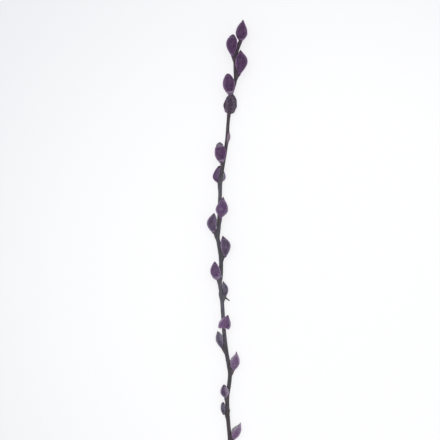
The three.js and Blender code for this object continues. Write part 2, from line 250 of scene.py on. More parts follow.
@dataclass(frozen=True)
class Bud:
    """One bud.

    Attributes:
        no: Its number, from the tip of the twig down.
        foot: How far up the stem it stands, in mm.
        tip: Where its tip lies, seen from above, in mm.
        turn: Its side of the stem, in degrees: 0 right, 90 up, 180 left, 270 underneath.
        back: How far it bulges away from the stem, in mm.
        front: How far it bulges towards the stem, in mm.
        side: How far it bulges sideways, in mm.
        widest: Where it is fattest, from its foot (0) to its tip (1).
        tone: Its scale's colouring.
        point: How much its upper part is drawn in: under 1 is blunt.
        hollow: The same for the side that faces the stem, where that differs.
        ankle: How fat its foot is, as a share of its bulge.
        swell: How late it swells above its foot.
        slit: How wide its slit gapes, in degrees each way.
        twist: How far the slit is turned round the bud, in degrees.
        wave: How wavy the slit's edges are, in degrees.
        torn: How far up the foot of its scale is torn, as a share of the bud.
        tilt: How far that foot is tilted, as a share of the bud.
        cover: How far up its scale reaches, as a share of the bud.
        shelf: How far its cushion stands out, in mm.
        base: How far down its cushion reaches, in mm.
        thin: How thick its layers are, as a share of the usual.
        crumple: How deep its folds are, in mm.
        hairs: How many hairs its catkin has.
        collar: How pale and raised the collar at its foot is.
        sunk: How far its scale reaches down into the cushion, as a share of the bud.
        beak: How brown its beak is.
        slaty: Where its slaty side begins and is full, in radians, and how slaty it is there.
        silky_tip: How silky its tip is.
    """

    no: int
    foot: float
    tip: tuple[float, float]
    turn: float
    back: float
    front: float
    side: float
    widest: float
    tone: Tone
    point: float = 1.0
    hollow: float = 0.0
    ankle: float = 0.34
    swell: float = 0.9
    slit: float = 34.0
    twist: float = 0.0
    wave: float = 0.0
    torn: float = 0.0
    tilt: float = 0.0
    cover: float = 1.0
    shelf: float = 1.35
    base: float = 3.6
    thin: float = 1.0
    crumple: float = 0.12
    hairs: int = 1200
    collar: float = 0.3
    sunk: float = 0.12
    beak: float = 0.9
    slaty: tuple[float, float, float] = (0.0, 0.0, 0.0)
    silky_tip: float = 0.0

    # The slit's half angle at the foot in degrees, where it is widest from the foot (0) to the tip (1),
    # and how fast its edges wave in between.
    SLIT_FOOT = 8.0
    SLIT_WIDEST = 0.8
    SLIT_WAVES = 17.0
    # How fat the tip stays, how far below the scale the sunk foot would close, and by what power.
    NIB = 0.045
    SOLE_ROOM = 1.12
    SOLE_ROUND = 1.8

    @cached_property
    def name(self) -> str:
        """The bud's number in two figures."""
        return f"{self.no:02d}"

    @cached_property
    def axes(self) -> Axes:
        """The bud's own axes.

        Returns:
            Its foot, the ways along, off and across it, and its length.
        """
        side = np.radians(self.turn)
        off = np.array((np.cos(side), 0.0, np.sin(side)))
        terminal = self.foot > STEM_END
        reach = 0.0 if terminal else float(STEM_RADIUS.at(np.array(self.foot))) + FOOT_PROUD
        foot = stem_centre(np.array([self.foot]))[0] + off * reach
        lift = 0.0 if terminal else TIP_LEAN * off[2]
        along = np.array((self.tip[0], self.tip[1], foot[2] + lift)) - foot
        length = float(np.linalg.norm(along))
        along /= length
        off -= along * off.dot(along)
        off /= np.linalg.norm(off)
        return Axes(foot, along, off, np.cross(along, off), length)

    def fatness(self, t: Array, point: float) -> Array:
        """How fat the bud is, as a share of its bulge.

        Args:
            t: Places from the foot (0) to the tip (1); below 0 the bud is sunk in its cushion.
            point: How much the upper part is drawn in: under 1 is blunt.

        Returns:
            The share at each place.
        """
        sunk = 1 - np.clip(-t / (self.sunk * self.SOLE_ROOM), 0.0, 1.0) ** self.SOLE_ROUND
        t = np.clip(t, 0.0, 1.0)
        rise = np.sin(np.minimum(t / self.widest, 1.0) * np.pi / 2) ** self.swell
        u = np.clip((t - self.widest) / (1 - self.widest), 0.0, 1.0)
        fall = np.maximum(np.cos(u * np.pi / 2), 0.0) ** point + self.NIB * u**6
        return np.where(t < self.widest, (self.ankle + (1 - self.ankle) * rise) * sunk, fall)

    def slit_half(self, t: Array) -> Array:
        """Half the angle of the slit that faces the stem, in radians, at places from foot to tip."""
        gape = self.slit * smooth(t / self.SLIT_WIDEST)
        return np.radians(self.SLIT_FOOT + gape + self.wave * np.sin(self.SLIT_WAVES * t) ** 2)

    def cushion(self) -> Lump:
        """The leaf cushion under the bud."""
        return Lump(at=self.foot - 0.9, turn=self.turn, proud=self.shelf, below=self.base, above=0.8,
                    spread=50)

    def seat(self) -> Lump:
        """What rises out of the cushion into the bud's foot."""
        return Lump(at=self.foot - 0.3, turn=self.turn, proud=self.shelf * 0.95, below=3, above=2.6,
                    spread=42)

    def place(self, t: Array, angle: Array, layer: Array, least: float) -> Array:
        """Points of the bud.

        Args:
            t: Places from the foot (0) to the tip (1).
            angle: Angles round the bud in radians, 0 on the side away from the stem.
            layer: How deep each point lies under the outer skin, in mm.
            least: The least share of the skin's own distance that a point keeps.

        Returns:
            The points, clear of the stem and of the surface below.
        """
        axes = self.axes
        fat = self.fatness(t, self.point)
        facing = self.front * self.fatness(t, self.hollow or self.point)
        x = np.cos(angle) * np.where(np.cos(angle) > 0, self.back * fat, facing)
        y = np.sin(angle) * self.side * fat
        skin = np.hypot(x, y)
        keep = np.maximum(skin - layer * self.thin, skin * least)
        x, y = x * keep / skin, y * keep / skin
        points = (axes.foot + np.outer(t * axes.length, axes.along)
                  + np.outer(x, axes.off) + np.outer(y, axes.across))
        return settle(points, np.maximum(skin - keep, 0.0))


# The stem's centre line seen from above, how high it is carried, and its radius.
STEM_SIDEWAYS = Curve((
    (0, 3.1), (13, 2.3), (26, 1.5), (39, 0.4), (51, 0), (59, 1.1), (65.5, 1.6), (71.5, 0.7),
    (80.5, -0.9), (91.5, -2), (108, -3.1), (114, -3.7), (119.5, -4.5), (125, -3.9), (135, -3.9),
    (144, -5.2), (147.5, -5.8), (155, -5), (173, -4.35), (180, -4.2), (188, -3.1), (199.5, -1.2),
    (207, -0.2), (219, 0.6), (224, 1.2), (233.5, 2.6), (241, 4.7), (248, 4.6), (254, 4.6),
    (258, 5.5), (266, 8.1)))
STEM_HEIGHT = Curve((
    (0, 2.5), (31, 2.6), (73, 2.75), (88, 2.95), (117, 3.9), (150, 4.8), (185, 5.4), (228, 5.3),
    (278, 7)))
STEM_RADIUS = Curve((
    (0, 1.42), (30, 1.22), (60, 1.22), (80, 1.26), (104, 1.18), (135, 1.22), (180, 1.18), (200, 1.08),
    (214, 1), (225, 1.05), (250, 0.95), (260, 1.05), (266, 1.45)))

# How blue-grey the bark is.
COOL_BARK = Curve((
    (0, 0), (80, 0), (88, 0.4), (96, 0.5), (106, 0.65), (120, 0.55), (130, 0), (148, 0.15), (166, 0.1),
    (175, 0.45), (184, 0), (266, 0)))

# How plum the bark is: where the withered bud under it has stained it.
PLUM_BARK = Curve(((0, 0), (221.5, 0), (224, 0.8), (232, 0.8), (235.5, 0.2), (240, 0), (266, 0)))

# Every bud from the tip down.
BUDS = (
    Bud(1, 265.6, (9.4, 278), 60, 3.8, 3.4, 3.6, 0.34, Tone.PLUM, ankle=0.42, sunk=0.045, beak=0.6),
    Bud(2, 256.2, (3.4, 269), 152, 4.2, 2.6, 3.7, 0.54, Tone.PLUM, point=0.6, ankle=0.24, swell=1.1,
        beak=0.55),
    Bud(3, 245.4, (7.8, 259.8), 14, 4.9, 2.8, 3.7, 0.54, Tone.PLUM, ankle=0.26, swell=1.1, beak=0.5),
    Bud(4, 233.9, (0.2, 245.5), 118, 3.6, 2, 3.9, 0.4, Tone.PLUM, point=0.52, ankle=0.5, collar=0.6,
        beak=0.2),
    # Bud 5 lies under the stem; its dark colouring is partly painted shade.
    Bud(5, 223.1, (2.7, 233.9), 276, 3.4, 1.1, 4, 0.45, Tone.WITHERED_SHADED, point=0.5, ankle=0.74, slit=12,
        wave=9, crumple=0.45, slaty=(-0.9, -1.6, 0.8), base=5.6),
    Bud(7, 193.1, (-4.7, 204.2), 124, 3.5, 2, 3.8, 0.4, Tone.PLUM, point=0.42, ankle=0.5,
        cover=0.76, hairs=3200, collar=0.7),
    Bud(8, 180.5, (-4.7, 190.8), 252, 3.6, 1, 4.1, 0.32, Tone.VIOLET, point=0.75, slit=16, twist=36,
        hairs=2400, slaty=(-1.1, -1.7, 0.9), base=5.6),
    Bud(9, 159.5, (-2.4, 172), 68, 3.7, 2, 4, 0.36, Tone.VIOLET, point=1.15, ankle=0.22, swell=1.2),
    Bud(10, 150.8, (-7.9, 162.2), 185, 4.5, 2, 3.5, 0.47, Tone.DUSK, point=0.9, collar=0.6,
        base=4.6),
    Bud(11, 136.7, (-2.8, 148.6), 8, 4.3, 2.1, 3.5, 0.49, Tone.DUSK, ankle=0.36, beak=0.6,
        shelf=1.1),
    Bud(12, 123.2, (-7.6, 133.2), 145, 3.9, 2.3, 3.3, 0.41, Tone.MAUVE, point=0.85, ankle=0.6,
        hairs=1500, collar=1.0, beak=0.6),
    Bud(13, 112.4, (-2.6, 121.3), 340, 2.5, 1.5, 2.6, 0.44, Tone.SLATE, thin=0.85),
    Bud(14, 92.8, (0.5, 101.2), 100, 3.3, 1.8, 3.7, 0.25, Tone.ROSE, ankle=0.92, torn=0.14, tilt=0.12,
        slit=45, wave=8, crumple=0.28, shelf=0.6, slaty=(0.3, 1.5, 0.6)),
    Bud(15, 81.5, (-5.9, 91.1), 182, 2.3, 2.7, 3.3, 0.48, Tone.SLATE, point=0.85, slit=48, hairs=1800,
        base=4.2),
    Bud(16, 68, (5.5, 79), 6, 3, 3.2, 3.3, 0.4, Tone.ROSE, hollow=2, slit=48, twist=14, hairs=2400,
        silky_tip=0.4),
    Bud(17, 51.8, (-2, 59.4), 122, 2.9, 1, 2.9, 0.38, Tone.MAUVE, point=0.7, slit=22, twist=-72,
        hairs=2400, collar=0.8, slaty=(0.6, 1.2, 0.6)),
    Bud(18, 41.3, (-2.6, 48.3), 188, 1.7, 1.7, 2.2, 0.48, Tone.SLATE, point=0.5, ankle=0.5, shelf=0.7,
        thin=0.6, crumple=0.2, hairs=600),
    Bud(19, 26.3, (8.2, 36.3), 12, 2.4, 3.5, 3.3, 0.38, Tone.ROSE, hollow=1.8, slit=60, twist=20,
        hairs=3000, silky_tip=0.75),
)

# The dormant buds, which stay pressed flat to the stem.
DORMANT = (Lump(207.6, 0, 0.95, 4.6, 4.8, 44), Lump(14.6, 200, 0.9, 1.8, 5.4, 44))
# The plum skin of each dormant bud, which reaches round the stem further than its swelling.
DORMANT_SKIN = (Lump(207.2, 35, 1, 4.6, 4.8, 50), Lump(14.6, 170, 1, 1.8, 5.4, 50))
# The pale collar that one bud's scale lays over the stem.
WRAP = Lump(124.2, 75, 1, 1.3, 1.3, 48)
# The low swellings opposite the spur and opposite bud 18, which carry no bud.
OLD_SCARS = (Lump(113, 180, 0.45, 4.5, 3, 48), Lump(43.2, 10, 0.3, 2.4, 2.4, 40))
# Every bud but the one at the tip stands on a cushion.
CUSHIONS = tuple(bud.cushion() for bud in BUDS[1:])
SEATS = tuple(bud.seat() for bud in BUDS[1:])


def stem_centre(y: Array) -> Array:
    """Points of the stem's centre line at heights y along the twig."""
    return np.column_stack((STEM_SIDEWAYS.at(y), y, STEM_HEIGHT.at(y)))


def stem_radius(y: Array, angle: Array) -> Array:
    """How far the bark stands out from the centre line.

    Args:
        y: Heights along the twig.
        angle: Sides of the stem, in radians.

    Returns:
        The radius at each place, with the leaf cushions and dormant buds.
    """
    lumps = sum(lump.proud * lump.share(y, angle) for lump in (*DORMANT, *OLD_SCARS, *CUSHIONS))
    seats = sum(seat.proud * seat.share(y, angle) for seat in SEATS)
    return STEM_RADIUS.at(y) + np.maximum(lumps, seats)


def settle(points: Array, depth: Array) -> Array:
    """Keeps points clear of the round of the stem and of the surface below.

    Args:
        points: Points in mm.
        depth: How deep each point lies in its bud, in mm.

    Returns:
        The points, moved.
    """
    y = points[:, 1]
    centre = stem_centre(y)
    off = points[:, [0, 2]] - centre[:, [0, 2]]
    reach = np.maximum(np.hypot(off[:, 0], off[:, 1]), 1e-6)
    need = STEM_RADIUS.at(y) + BARK_GAP + depth
    push = 0.5 * (need - reach + np.sqrt((need - reach) ** 2 + PUSH_SOFTNESS * PUSH_SOFTNESS))
    push *= 1 - smooth((y - STEM_END + PUSH_FADE / 2) / PUSH_FADE)
    off *= (1 + push / reach)[:, None]
    moved = points.copy()
    moved[:, 0] = centre[:, 0] + off[:, 0]
    moved[:, 2] = np.maximum(centre[:, 2] + off[:, 1], depth)
    return moved


def deselect() -> None:
    """Leaves nothing selected."""
    bpy.ops.object.select_all(action="DESELECT")


def join(piece: bpy.types.Object, other: bpy.types.Object) -> None:
    """Joins another object into a piece, which becomes the active one.

    Args:
        piece: The piece.
        other: What joins it.
    """
    deselect()
    other.select_set(True)
    piece.select_set(True)
    bpy.context.view_layer.objects.active = piece
    bpy.ops.object.join()


def read_vectors(items: bpy.types.bpy_prop_collection, name: str) -> Array:
    """One kind of vector, such as the normal, of all of a mesh's corners or faces.

    Args:
        items: The corners or faces.
        name: The kind of vector.

    Returns:
        A row for each of them.
    """
    values = np.empty(len(items) * 3)
    items.foreach_get(name, values)
    return values.reshape(-1, 3)


def read_points(piece: bpy.types.Object) -> Array:
    """The corners of a piece's mesh, as the primitive gave them."""
    return read_vectors(piece.data.vertices, "co")


def write_points(piece: bpy.types.Object, points: Array) -> None:
    """Moves the corners of a piece's mesh.

    Args:
        piece: The piece.
        points: Its corners in mm, with y counted from the cut end.
    """
    corners = (points - (0.0, TWIG_LENGTH / 2, 0.0)) * METRES
    piece.data.vertices.foreach_set("co", corners.ravel())
    piece.data.update()


def write_marks(piece: bpy.types.Object, **marks: Array) -> None:
    """Writes one number a corner for the materials to read, under each mark's name.

    Args:
        piece: The piece.
        **marks: The numbers of each mark.
    """
    for name, values in marks.items():
        layer = piece.data.attributes.new(name, "FLOAT", "POINT")
        layer.data.foreach_set("value", np.asarray(values, np.float32))


def write_uv(piece: bpy.types.Object, across: Array, along: Array) -> None:
    """Lays the piece out flat for patterns that follow its surface.

    Args:
        piece: The piece.
        across: Each corner's place across the surface, 0 to 1.
        along: Each corner's place along it, 0 to 1.
    """
    mesh = piece.data
    corner = np.empty(len(mesh.loops), np.int32)
    mesh.loops.foreach_get("vertex_index", corner)
    layer = mesh.uv_layers.active or mesh.uv_layers.new(name="UVMap")
    places = np.column_stack((across[corner], along[corner]))
    layer.uv.foreach_set("vector", places.astype(np.float32).ravel())


def tidy_up(piece: bpy.types.Object, sharp: float = 180.0) -> None:
    """Merges doubles, turns every face outwards and smooths the shading.

    Args:
        piece: The piece, which is the active object.
        sharp: Edges that bend by more degrees than this stay sharp.
    """
    bpy.ops.object.mode_set(mode="EDIT")
    bpy.ops.mesh.select_all(action="SELECT")
    bpy.ops.mesh.remove_doubles(threshold=MERGE)
    bpy.ops.mesh.normals_make_consistent(inside=False)
    bpy.ops.object.mode_set(mode="OBJECT")
    deselect()
    piece.select_set(True)
    bpy.context.view_layer.objects.active = piece
    bpy.ops.object.shade_smooth_by_angle(angle=np.radians(sharp))


def report(piece: bpy.types.Object) -> None:
    """Logs a piece's name and how many faces it has."""
    log.info("%s: %d faces", piece.name, len(piece.data.polygons))


class Recipe:
    """The nodes of one finish, added one at a time."""

    # How strongly the fine relief shows.
    BUMP = 0.6

    def __init__(self, name: str) -> None:
        """Starts an empty material.

        Args:
            name: The material's name.
        """
        self.material = bpy.data.materials.new(name)
        self.material.use_nodes = True
        self.tree = self.material.node_tree
        self.tree.nodes.clear()

    def node(self, kind: str, settings: dict | None = None,
             **sockets: object) -> bpy.types.Node:
        """Adds a node.

        Args:
            kind: The node's type.
            settings: Its settings by name.
            **sockets: A value or another node's output for each input, with _ for a space.

        Returns:
            The node.
        """
        node = self.tree.nodes.new(kind)
        for name, value in (settings or {}).items():
            setattr(node, name, value)
        for name, value in sockets.items():
            self.feed(node.inputs[name.replace("_", " ")], value)
        return node

    def feed(self, socket: bpy.types.NodeSocket, value: object) -> None:
        """Gives an input its value, or links it to another node's output.

        Args:
            socket: The input.
            value: A value, or another node's output.
        """
        if isinstance(value, bpy.types.NodeSocket):
            self.tree.links.new(value, socket)
        else:
            socket.default_value = value

    def mark(self, name: str) -> bpy.types.NodeSocket:
        """Reads one of the piece's marks."""
        return self.node("ShaderNodeAttribute", {"attribute_name": name}).outputs["Fac"]

    def noise(self, source: str, scale: float, detail: float,
              stretch: tuple[float, float, float] = (1.0, 1.0, 1.0)) -> bpy.types.NodeSocket:
        """Cloudy unevenness from 0 to 1.

        Args:
            source: "Object" for places in metres, or "UV" for places over the surface.
            scale: How many clouds there are to one unit.
            detail: How many finer layers the clouds have.
            stretch: How much finer they are on each axis.

        Returns:
            The unevenness.
        """
        at = self.node("ShaderNodeTexCoord").outputs[source]
        at = self.node("ShaderNodeMapping", Vector=at, Scale=stretch).outputs["Vector"]
        clouds = self.node("ShaderNodeTexNoise", {"noise_dimensions": "3D"}, Vector=at, Scale=scale,
                           Detail=detail)
        return clouds.outputs["Fac"]

    def spread(self, value: bpy.types.NodeSocket, low: float, high: float, start: float = 0.0,
               end: float = 1.0) -> bpy.types.NodeSocket:
        """Softly spreads the part of a value between low and high over start to end.

        Args:
            value: The value.
            low: Where the part begins.
            high: Where the part ends.
            start: What it gives at low.
            end: What it gives at high.

        Returns:
            The spread value.
        """
        node = self.node("ShaderNodeMapRange", {"interpolation_type": "SMOOTHSTEP"}, Value=value)
        for name, number in (("From Min", low), ("From Max", high), ("To Min", start), ("To Max", end)):
            node.inputs[name].default_value = number
        return node.outputs["Result"]

    def math(self, operation: str, first: object, second: object) -> bpy.types.NodeSocket:
        """Joins two numbers by an operation such as ADD or MULTIPLY.

        Args:
            operation: The operation.
            first: The first number.
            second: The second number.

        Returns:
            The outcome.
        """
        node = self.node("ShaderNodeMath", {"operation": operation})
        self.feed(node.inputs[0], first)
        self.feed(node.inputs[1], second)
        return node.outputs["Value"]

    def times(self, first: object, second: object) -> bpy.types.NodeSocket:
        """Multiplies two numbers."""
        return self.math("MULTIPLY", first, second)

    def swayed(self, value: object, clouds: object, by: float) -> bpy.types.NodeSocket:
        """Makes a value uneven: clouds from 0 to 1 take it down and up by half of `by`."""
        return self.math("ADD", value, self.times(self.math("SUBTRACT", clouds, 0.5), by))

    def mix(self, share: object, first: object, second: object,
            blend: str = "MIX") -> bpy.types.NodeSocket:
        """Mixes two colours.

        Args:
            share: How much of the second colour shows.
            first: The first colour.
            second: The second colour.
            blend: The way in which they mix.

        Returns:
            The mixed colour.
        """
        node = self.node("ShaderNodeMix", {"data_type": "RGBA", "blend_type": blend})
        for index, value in ((0, share), (6, first), (7, second)):
            self.feed(node.inputs[index], value)
        return node.outputs[2]

    def paint(self, base: object, *coats: tuple[Rgb, object]) -> bpy.types.NodeSocket:
        """Lays coats of colour over a base, one after another.

        Args:
            base: The colour underneath.
            *coats: Each coat's colour as it looks on a screen, and how much of it shows.

        Returns:
            The painted colour.
        """
        for colour, share in coats:
            base = self.mix(share, base, linear(*colour))
        return base

    def finish(self, colour: object, roughness: object, height: bpy.types.NodeSocket, depth: float,
               **fixed: object) -> bpy.types.Material:
        """Joins everything in the surface shader.

        Args:
            colour: The colour.
            roughness: The roughness.
            height: The height of the fine relief, 0 to 1.
            depth: How deep that relief is, in metres.
            **fixed: Numbers for the shader's own sockets, with _ for a space.

        Returns:
            The material.
        """
        bump = self.node("ShaderNodeBump", Strength=self.BUMP, Distance=depth, Height=height)
        shader = self.node("ShaderNodeBsdfPrincipled", Base_Color=colour, Roughness=roughness,
                           Normal=bump.outputs["Normal"], **fixed)
        self.node("ShaderNodeOutputMaterial", Surface=shader.outputs["BSDF"])
        return self.material


@dataclass(frozen=True)
class ScaleFinish:
    """The waxy skin of a bud scale: paler at its foot and at its margins, where the pale is partly the
    scale's own and partly painted backlight, and brown at its beak.

    The rim, the blotches and the painted backlight on the sideways-facing flanks say how much of the
    margin's colour shows there.
    """

    tone: Tone
    deep: Rgb
    body: Rgb
    margin: Rgb
    beak: Rgb = (58, 48, 54)
    foot: Rgb = (158, 146, 166)
    slate: Rgb = (60, 56, 66)
    silk: Rgb = (182, 170, 188)
    # How pale the rim is: partly the scale's own paler margin, partly painted backlight.
    rim: float = 0.85
    blotches: float = 0.35
    # How much of the margin's colour the painted backlight lays on the sideways-facing flanks.
    thin: float = 0.75
    relief: float = 0.00012

    def make(self) -> bpy.types.Material:
        """Makes the material."""
        recipe = Recipe(f"bud_scale_{self.tone.value}")
        rim, along, foot, beak, silky, slaty, flank = (
            recipe.mark(m) for m in ("rim", "along", "collar", "beak", "silky", "slaty", "flank"))
        veins = recipe.noise("UV", 1.6, 4.0, (16.0, 1.3, 1.0))
        fine = recipe.noise("UV", 1.0, 2.0, (90.0, 5.0, 1.0))
        cloud = recipe.noise("Object", 420.0, 4.0)
        pores = recipe.noise("Object", 5200.0, 2.0)
        worn = recipe.swayed(along, cloud, 0.22)
        line = recipe.times(recipe.spread(worn, 0.78, 0.84), recipe.spread(worn, 0.9, 0.84))
        edge = recipe.swayed(rim, fine, 0.5)
        body = recipe.paint(
            linear(*self.deep),
            (self.body, recipe.spread(veins, 0.36, 0.66)),
            (self.margin, recipe.spread(cloud, 0.45, 0.72, 0.0, self.blotches)),
            (self.margin, recipe.spread(fine, 0.55, 0.8, 0.0, 0.2)),
            (self.foot, recipe.times(line, 0.2)),
            (self.slate, recipe.times(slaty, recipe.spread(veins, 0.3, 0.6, 1.0, 0.8))),
            # The rim: the margin's colour at the scale's edges, partly its own paler margin and partly
            # painted backlight.
            (self.margin, recipe.spread(edge, 0.25, 1.0, 0.0, self.rim)),
            # Painted backlight: the margin's colour laid on the flanks that face sideways, as if lit
            # through the skin.
            (self.margin, recipe.times(flank, self.thin)),
            (self.beak, recipe.times(recipe.spread(worn, 0.8, 0.95), beak)),
            (self.silk, recipe.times(silky, recipe.spread(fine, 0.35, 0.6, 0.7, 1.0))),
            (self.foot, recipe.times(foot, recipe.spread(cloud, 0.3, 0.6, 0.6, 1.0))))
        rough = recipe.spread(cloud, 0.3, 0.7, 0.38, 0.58)
        height = recipe.math("ADD", recipe.times(fine, 0.8), recipe.times(pores, 0.4))
        return recipe.finish(
            body, rough, height, self.relief, Specular_IOR_Level=0.35, Subsurface_Weight=0.3,
            Subsurface_Radius=(0.8, 0.5, 0.9), Subsurface_Scale=0.0015, Sheen_Weight=0.9,
            Sheen_Roughness=0.3, Sheen_Tint=linear(214, 182, 226))


SCALE_FINISHES = {
    finish.tone: finish for finish in (
        ScaleFinish(Tone.PLUM, (63, 30, 71), (87, 52, 95), (126, 95, 134), rim=0.4),
        ScaleFinish(Tone.DUSK, (70, 52, 80), (96, 78, 106), (134, 118, 144)),
        # The colours of the bud under the stem are partly its own and partly painted shade.
        ScaleFinish(Tone.WITHERED_SHADED, (26, 15, 30), (60, 42, 67), (134, 114, 140), rim=0.35,
                    blotches=0.75),
        ScaleFinish(Tone.VIOLET, (78, 48, 92), (104, 76, 116), (146, 124, 156)),
        ScaleFinish(Tone.MAUVE, (80, 53, 92), (107, 81, 117), (160, 138, 168)),
        ScaleFinish(Tone.ROSE, (94, 62, 104), (120, 92, 128), (164, 142, 170), rim=0.25),
        ScaleFinish(Tone.SLATE, (62, 53, 74), (85, 78, 99), (128, 122, 142)),
    )
}


@dataclass(frozen=True)
class SilkFinish:
    """The catkin's pale silk, with a darker bed between its hairs."""

    bed: Rgb = (206, 194, 214)
    hair: Rgb = (236, 228, 242)
    tip: Rgb = (252, 249, 254)
    blush: Rgb = (146, 122, 152)
    relief: float = 0.00006

    def make(self) -> bpy.types.Material:
        """Makes the material."""
        recipe = Recipe("catkin_silk")
        hair, bract, blush = (recipe.mark(m) for m in ("hair", "bract", "blush"))
        cloud = recipe.noise("Object", 900.0, 3.0)
        fine = recipe.noise("Object", 1.0, 2.0, (4000.0, 700.0, 4000.0))
        bed = recipe.paint(linear(*self.bed), (self.hair, recipe.spread(bract, 0.2, 0.9, 0.0, 0.7)))
        silk = recipe.paint(linear(*self.hair), (self.tip, recipe.spread(cloud, 0.35, 0.7)))
        purple = recipe.times(blush, recipe.spread(cloud, 0.3, 0.6, 0.75, 0.95))
        colour = recipe.mix(recipe.spread(hair, 0.02, 0.35), bed, silk)
        colour = recipe.paint(colour, (self.blush, purple))
        rough = recipe.spread(cloud, 0.3, 0.7, 0.55, 0.75)
        return recipe.finish(
            colour, rough, fine, self.relief, Specular_IOR_Level=0.35, Subsurface_Weight=0.6,
            Subsurface_Radius=(1.0, 0.9, 1.0), Subsurface_Scale=0.0012, Sheen_Weight=0.4,
            Sheen_Roughness=0.35, Sheen_Tint=linear(240, 232, 248))


@dataclass(frozen=True)
class BarkFinish:
    """Thin grey-brown bark with lengthwise streaks, pale pores, leaf scars and plum dormant buds."""

    foot: Rgb = (72, 66, 69)
    middle: Rgb = (76, 75, 80)
    top: Rgb = (72, 60, 69)
    dark: Rgb = (44, 38, 42)
    pale: Rgb = (128, 122, 130)
    scar: Rgb = (108, 92, 88)
    bud: Rgb = (140, 120, 138)
    warm: Rgb = (98, 80, 82)
    cool: Rgb = (100, 98, 110)
    plum: Rgb = (66, 47, 73)
    wrap: Rgb = (146, 134, 152)
    relief: float = 0.00018

    def make(self) -> bpy.types.Material:
        """Makes the material."""
        recipe = Recipe("bark")
        along, pore, scar, bud, warm, cool, plum, wrap = (
            recipe.mark(m) for m in ("along", "pore", "scar", "bud", "warm", "cool", "plum", "wrap"))
        streak = recipe.noise("Object", 1.0, 4.0, (2600.0, 120.0, 2600.0))
        fibre = recipe.noise("Object", 1.0, 3.0, (7000.0, 500.0, 7000.0))
        cloud = recipe.noise("Object", 260.0, 3.0)
        base = recipe.paint(
            linear(*self.foot),
            (self.middle, recipe.spread(along, 0.1, 0.42)),
            (self.top, recipe.spread(along, 0.6, 0.85)),
            (self.warm, recipe.times(warm, recipe.spread(cloud, 0.3, 0.7, 0.5, 1.0))),
            (self.cool, cool),
            (self.dark, recipe.spread(streak, 0.3, 0.52, 0.65, 0.0)),
            (self.pale, recipe.spread(streak, 0.54, 0.78, 0.0, 0.55)),
            (self.pale, recipe.spread(cloud, 0.5, 0.75, 0.0, 0.25)),
            (self.plum, recipe.times(plum, recipe.spread(cloud, 0.35, 0.6, 0.6, 1.0))),
            (self.wrap, recipe.spread(wrap, 0.3, 0.8, 0.0, 0.9)),
            (self.bud, recipe.spread(bud, 0.05, 0.45, 0.0, 0.9)),
            (self.pale, recipe.spread(pore, 0.3, 0.8, 0.0, 0.8)),
            (self.scar, recipe.spread(scar, 0.3, 0.7, 0.0, 0.8)))
        rough = recipe.spread(streak, 0.3, 0.7, 0.52, 0.78)
        height = recipe.math("ADD", recipe.times(streak, 0.6), recipe.times(fibre, 0.5))
        return recipe.finish(base, rough, height, self.relief, Specular_IOR_Level=0.3)


@dataclass(frozen=True)
class WoodFinish:
    """Freshly cut wood: pale rings round a brown pith, with a green line under the bark."""

    wood: Rgb = (214, 200, 160)
    ring: Rgb = (190, 172, 128)
    pith: Rgb = (128, 96, 66)
    green: Rgb = (126, 132, 88)
    relief: float = 0.0001

    def make(self) -> bpy.types.Material:
        """Makes the material."""
        recipe = Recipe("cut_wood")
        out = recipe.mark("out")
        rays = recipe.noise("Object", 3500.0, 3.0)
        shade = recipe.paint(
            linear(*self.wood),
            (self.ring, recipe.spread(rays, 0.35, 0.65)),
            (self.pith, recipe.spread(out, 0.26, 0.14, 0.0, 0.9)),
            (self.green, recipe.spread(out, 0.82, 0.9, 0.0, 0.8)))
        return recipe.finish(shade, 0.7, rays, self.relief, Specular_IOR_Level=0.3)


@dataclass
class Spur:
    """The dry stub of an old shoot on one side of the stem.

    Lengths are in mm. It starts `root` off the stem's centre line at the height `at`, on the side
    `turn`, droops by `droop` degrees towards the cut end and curls up by `curl` at its tip. It thins
    to `slim` of its thickness by the power `taper`, its tip is rounded by the power `blunt`, and its
    skin is `uneven` by that share and `warm` in colour.
    """

    at: float = 113.0
    turn: float = 345.0
    droop: float = 35.0
    root: float = 0.6
    length: float = 5.9
    thick: float = 1.1
    slim: float = 0.34
    taper: float = 2.4
    blunt: int = 14
    curl: float = 0.5
    uneven: float = 0.12
    warm: float = 0.3
    sides: int = 14
    cuts: int = 7
    sharp: float = 60.0

    def build(self) -> bpy.types.Object:
        """Models the spur.

        Returns:
            The spur, as a piece of its own that is still to be joined.
        """
        deselect()
        bpy.ops.mesh.primitive_cone_add(vertices=self.sides, radius1=1, radius2=0, depth=2)
        spur = bpy.context.object
        bpy.ops.object.mode_set(mode="EDIT")
        bpy.ops.mesh.select_all(action="SELECT")
        bpy.ops.mesh.subdivide(number_cuts=self.cuts)
        bpy.ops.object.mode_set(mode="OBJECT")
        points = self.shape(read_points(spur))
        write_points(spur, points)
        none = np.zeros(len(points))
        write_marks(spur, out=none + 1, along=none + self.at / STEM_END, pore=none, scar=none, bud=none,
                    warm=none + self.warm, cool=none, plum=none, wrap=none)
        tidy_up(spur, self.sharp)
        return spur

    def shape(self, raw: Array) -> Array:
        """Bends and thins a plain cone into the spur.

        Args:
            raw: The cone's corners.

        Returns:
            The spur's corners, in mm.
        """
        s = np.clip((raw[:, 2] + 1) / 2, 0, 1)
        angle = np.arctan2(raw[:, 1], raw[:, 0])
        ring = np.hypot(raw[:, 0], raw[:, 1]) / np.maximum(1 - s, 1e-3)
        taper = self.slim + (1 - self.slim) * (1 - s) ** self.taper
        thick = self.thick * taper * np.sqrt(np.clip(1 - s**self.blunt, 0, 1))
        thick *= 1 + self.uneven * grain_round(Seed.SPUR, 7, angle, s * 5)
        side, droop = np.radians(self.turn), np.radians(self.droop)
        way = np.array((np.cos(side) * np.cos(droop), -np.sin(droop), np.sin(side) * np.cos(droop)))
        first = np.cross(way, (0, 0, 1))
        first /= np.linalg.norm(first)
        second = np.cross(way, first)
        root = stem_centre(np.array([self.at]))[0] + way * self.root
        reach = ring * thick
        return (root + np.outer(s * self.length, way) + np.outer(np.cos(angle) * reach, first)
                + np.outer(np.sin(angle) * reach - self.curl * s * s, second))


